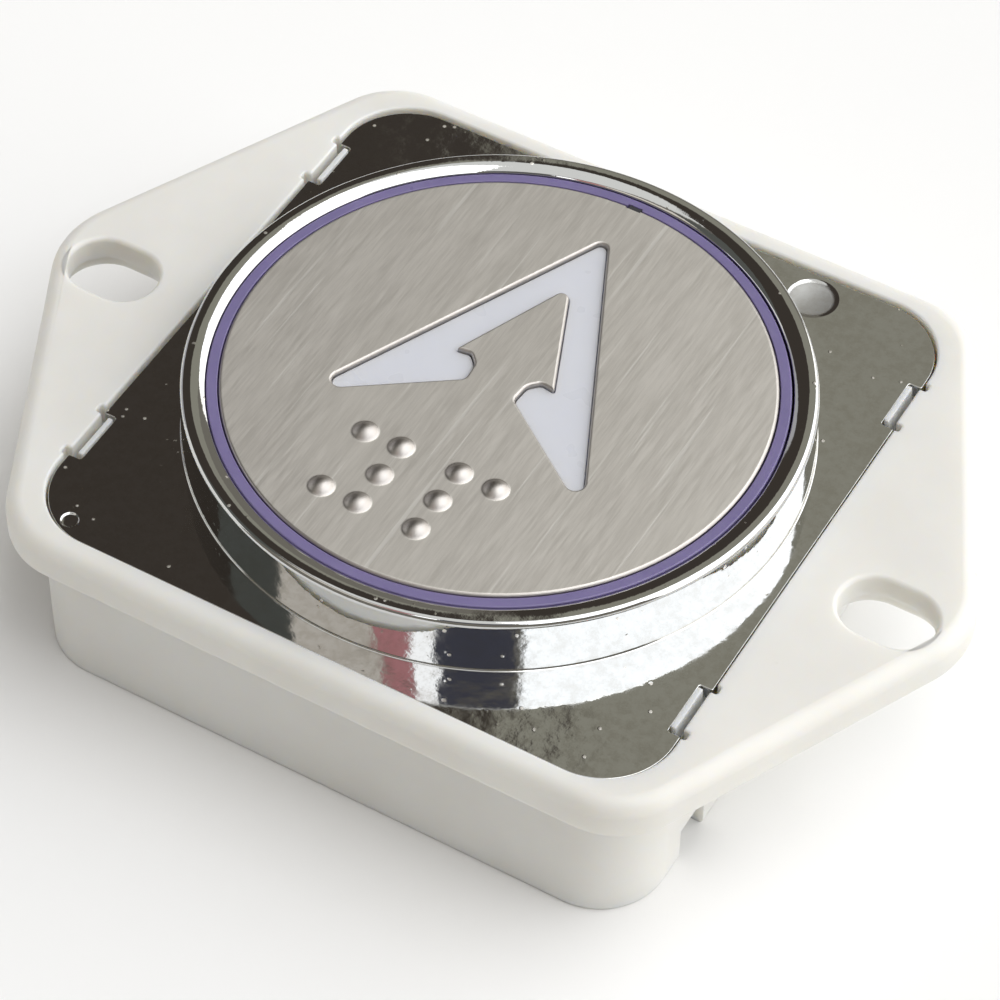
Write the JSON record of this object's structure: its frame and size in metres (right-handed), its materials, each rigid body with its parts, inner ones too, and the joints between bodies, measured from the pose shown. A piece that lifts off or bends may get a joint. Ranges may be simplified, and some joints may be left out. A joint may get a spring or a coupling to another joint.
{
  "type": "elevator push button",
  "caption": "Lift call button with a round lit face, an arrow window and tactile dots, held by a square bezel in an eared plastic housing.",
  "frame": {"origin": "centre of the housing's back face", "axes": "+X from ear to ear, the way the tactile cells are read; +Y the way the arrow points; +Z out of the face, towards the finger"},
  "size_m": [0.0606, 0.0434, 0.0159],
  "materials": {
    "housing": "satin off-white",
    "chrome": "mirror",
    "steel": "brushed along the arrow",
    "violet_diffuser": "translucent",
    "lens": "milky",
    "carrier": "satin",
    "baffle": "matt",
    "spring_wire": "drawn wire",
    "switch_plastic": "satin",
    "switch_cover": "stamped",
    "board": "solder mask",
    "led": "clear resin",
    "resistor": "satin",
    "connector": "natural nylon",
    "pin": "tinned",
    "screw": "zinc plated"
  },
  "bodies": {
    "housing_body": {"housing": "housing", "bezel": "chrome", "back_cover": "housing", "pcb": "board", "light_baffle": "baffle", "switch_body": "switch_plastic", "switch_cover": "switch_cover", "connector_shell": "connector", "connector_pin_1": "pin", "connector_pin_2": "pin", "connector_pin_3": "pin", "connector_pin_4": "pin", "led_1": "led", "led_2": "led", "led_3": "led", "led_4": "led", "led_5": "led", "led_6": "led", "led_7": "led", "led_8": "led", "resistor_1": "resistor", "resistor_2": "resistor", "resistor_3": "resistor", "resistor_4": "resistor", "cover_screw_1": "screw", "cover_screw_2": "screw", "cover_screw_3": "screw", "cover_screw_4": "screw", "return_spring_1": "spring_wire", "return_spring_2": "spring_wire", "return_spring_3": "spring_wire", "return_spring_4": "spring_wire"},
    "button_body": {"carrier": "carrier", "light_ring": "violet_diffuser", "arrow_lens": "lens", "face_plate": "steel"},
    "stem_body": {"switch_stem": "switch_plastic"}
  },
  "joints": [
    {"name": "button_press", "type": "slide", "parent": "housing_body", "child": "button_body", "axis": [0, 0, -1], "range_m": [0, 0.001], "stiffness_N_per_m": 800, "springref_m": -0.0015, "deforming": ["return_spring_1", "return_spring_2", "return_spring_3", "return_spring_4"]},
    {"name": "switch_press", "type": "slide", "parent": "housing_body", "child": "stem_body", "axis": [0, 0, -1], "range_m": [0, 0.00025]}
  ],
  "couplings": [
    {"joint": "switch_press", "follows": "button_press", "ratio": 0.25}
  ]
}
